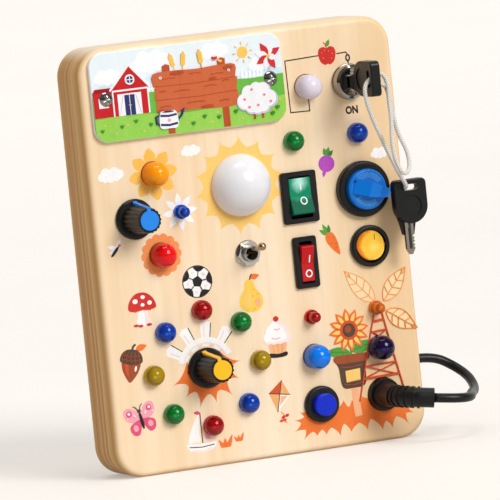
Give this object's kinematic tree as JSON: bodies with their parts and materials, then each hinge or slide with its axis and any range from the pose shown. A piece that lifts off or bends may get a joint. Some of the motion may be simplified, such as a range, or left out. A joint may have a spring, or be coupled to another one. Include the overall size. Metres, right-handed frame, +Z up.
{
  "type": "busy board",
  "caption": "Upright wooden toy board with domed lights, knobs, rocker, toggle, selector and push switches, a lock with keys on a cord, and a jack lead.",
  "frame": {"origin": "centre of the lower edge face that the board stands on, halfway through its thickness", "axes": "+Z up the board, +X to the right as seen from the front, the front faces -Y"},
  "size_m": [0.2351, 0.0792, 0.25],
  "materials": {
    "plywood_front": "clear satin varnish over pale birch veneer",
    "plywood_edge": "sanded plywood edge with fine layers",
    "plywood_back": "clear satin varnish over pale birch veneer",
    "picture_plate": "printed picture under a clear coat",
    "bright_steel": "polished",
    "zinc_steel": "zinc plated",
    "nickel": "bright nickel plate",
    "white_dome": "milky, satin",
    "light_base": "matt",
    "orange_lens": "clear tinted",
    "red_lens": "clear tinted",
    "lilac_lens": "clear tinted",
    "light_blue_lens": "clear tinted",
    "purple_lens": "clear tinted",
    "crimson_lens": "clear tinted",
    "green_lens": "clear tinted",
    "yellow_lens": "clear tinted",
    "blue_lens": "clear tinted",
    "bullet_lens": "clear tinted, one each in blue, red and orange",
    "grey_plastic": "matt",
    "black_plastic": "satin black",
    "black_matt": "fine matt texture",
    "blue_plastic": "satin blue",
    "yellow_plastic": "satin yellow",
    "deep_blue_plastic": "satin deep blue",
    "green_rocker": "clear tinted green",
    "red_rocker": "clear tinted red",
    "amber_rocker": "clear tinted amber",
    "brass": "bright",
    "spring_steel": "bright spring wire",
    "rubber": "soft black rubber",
    "cord": "tightly braided off-white polyester",
    "battery_can": "plain dark sleeve with a bright end",
    "circuit_board": "green solder mask",
    "tray_plastic": "matt black"
  },
  "bodies": {
    "board": {"back_panel": "plywood_back", "back_panel_screws": "zinc_steel", "batteries": "battery_can", "battery_contacts": "spring_steel", "battery_tray": "tray_plastic", "blue_indicator_lenses": "blue_lens", "bullet_lenses": "bullet_lens", "cable_gland": "black_plastic", "control_board": "circuit_board", "dome_lens": "white_dome", "dome_light": "light_base", "frame": "plywood_edge", "front_panel": "plywood_front", "green_indicator_lenses": "green_lens", "green_rocker_housing": "black_plastic", "jack_socket": "black_plastic", "lamp_holders": "grey_plastic", "light_blue_ball_lens": "light_blue_lens", "lilac_ball_lens": "lilac_lens", "lock_body": "bright_steel", "orange_ball_lens": "orange_lens", "panel_nuts": "zinc_steel", "picture_plate": "picture_plate", "picture_plate_screws": "bright_steel", "purple_ball_lens": "purple_lens", "push_button_body": "black_plastic", "push_button_spring": "spring_steel", "red_ball_lens": "red_lens", "red_indicator_lenses": "crimson_lens", "red_rocker_housing": "black_plastic", "rotary_switches": "zinc_steel", "round_rocker_housing": "black_plastic", "selector_body": "black_matt", "toggle_body": "nickel", "toggle_nut": "nickel", "yellow_indicator_lenses": "yellow_lens"},
    "blue_knob_body": {"blue_knob": "black_matt", "blue_knob_cap": "blue_plastic", "blue_knob_shaft": "brass"},
    "yellow_knob_body": {"yellow_knob": "black_matt", "yellow_knob_cap": "yellow_plastic", "yellow_knob_shaft": "brass"},
    "toggle": {"toggle_lever": "nickel"},
    "green_switch": {"green_rocker": "green_rocker"},
    "red_switch": {"red_rocker": "red_rocker"},
    "round_switch": {"round_rocker": "amber_rocker"},
    "selector": {"selector_knob": "blue_plastic"},
    "push_button": {"push_button_cap": "deep_blue_plastic"},
    "cylinder": {"lock_cylinder": "bright_steel"},
    "key": {"key_blade": "zinc_steel", "key_bow": "black_plastic", "lanyard_hitch": "cord"},
    "lanyard": {"lanyard_strands": "cord", "spare_key_blade": "zinc_steel", "spare_key_bow": "black_plastic"},
    "plug": {"plug_pin": "brass", "plug_body": "rubber", "lead": "rubber"},
    "cover": {"battery_cover": "tray_plastic", "battery_cover_screw": "zinc_steel"}
  },
  "joints": [
    {"name": "blue_knob_turn", "type": "hinge", "parent": "board", "child": "blue_knob_body", "pos_m": [-0.0735, -0.0175, 0.1495], "axis": [0, 1, 0], "range_deg": [-150, 150]},
    {"name": "yellow_knob_turn", "type": "hinge", "parent": "board", "child": "yellow_knob_body", "pos_m": [-0.0378, -0.0175, 0.058], "axis": [0, 1, 0], "range_deg": [-138, 162]},
    {"name": "toggle_flip", "type": "hinge", "parent": "board", "child": "toggle", "pos_m": [-0.0049, -0.0155, 0.121], "axis": [1, 0, 0], "range_deg": [0, 22]},
    {"name": "green_rocker_rock", "type": "hinge", "parent": "board", "child": "green_switch", "pos_m": [0.031, -0.0171, 0.1495], "axis": [1, 0, 0], "range_deg": [0, 20]},
    {"name": "red_rocker_rock", "type": "hinge", "parent": "board", "child": "red_switch", "pos_m": [0.031, -0.0171, 0.1112], "axis": [1, 0, 0], "range_deg": [-20, 0]},
    {"name": "round_rocker_rock", "type": "hinge", "parent": "board", "child": "round_switch", "pos_m": [0.0726, -0.0171, 0.1156], "axis": [1, 0, 0], "range_deg": [0, 16]},
    {"name": "selector_turn", "type": "hinge", "parent": "board", "child": "selector", "pos_m": [0.0715, -0.0175, 0.1495], "axis": [0, 1, 0], "range_deg": [0, 90]},
    {"name": "push_button_press", "type": "slide", "parent": "board", "child": "push_button", "axis": [0, 1, 0], "range_m": [0, 0.0028], "stiffness_N_per_m": 300, "springref_m": -0.001},
    {"name": "key_turn", "type": "hinge", "parent": "board", "child": "cylinder", "pos_m": [0.0696, -0.0175, 0.213], "axis": [0, 1, 0], "range_deg": [0, 90]},
    {"name": "key_pull", "type": "slide", "parent": "cylinder", "child": "key", "axis": [0, -1, 0], "range_m": [0, 0.016]},
    {"name": "lanyard_swing", "type": "hinge", "parent": "key", "child": "lanyard", "pos_m": [0.0696, -0.0175, 0.213], "axis": [0, 1, 0], "range_deg": [-90, 0], "deforming": ["lanyard_hitch"]},
    {"name": "plug_pull", "type": "slide", "parent": "board", "child": "plug", "axis": [0, -1, 0], "range_m": [0, 0.02]},
    {"name": "battery_cover_lift", "type": "slide", "parent": "board", "child": "cover", "axis": [0, 1, 0], "range_m": [0, 0.03]}
  ],
  "couplings": [
    {"joint": "lanyard_swing", "follows": "key_turn", "ratio": -1}
  ]
}
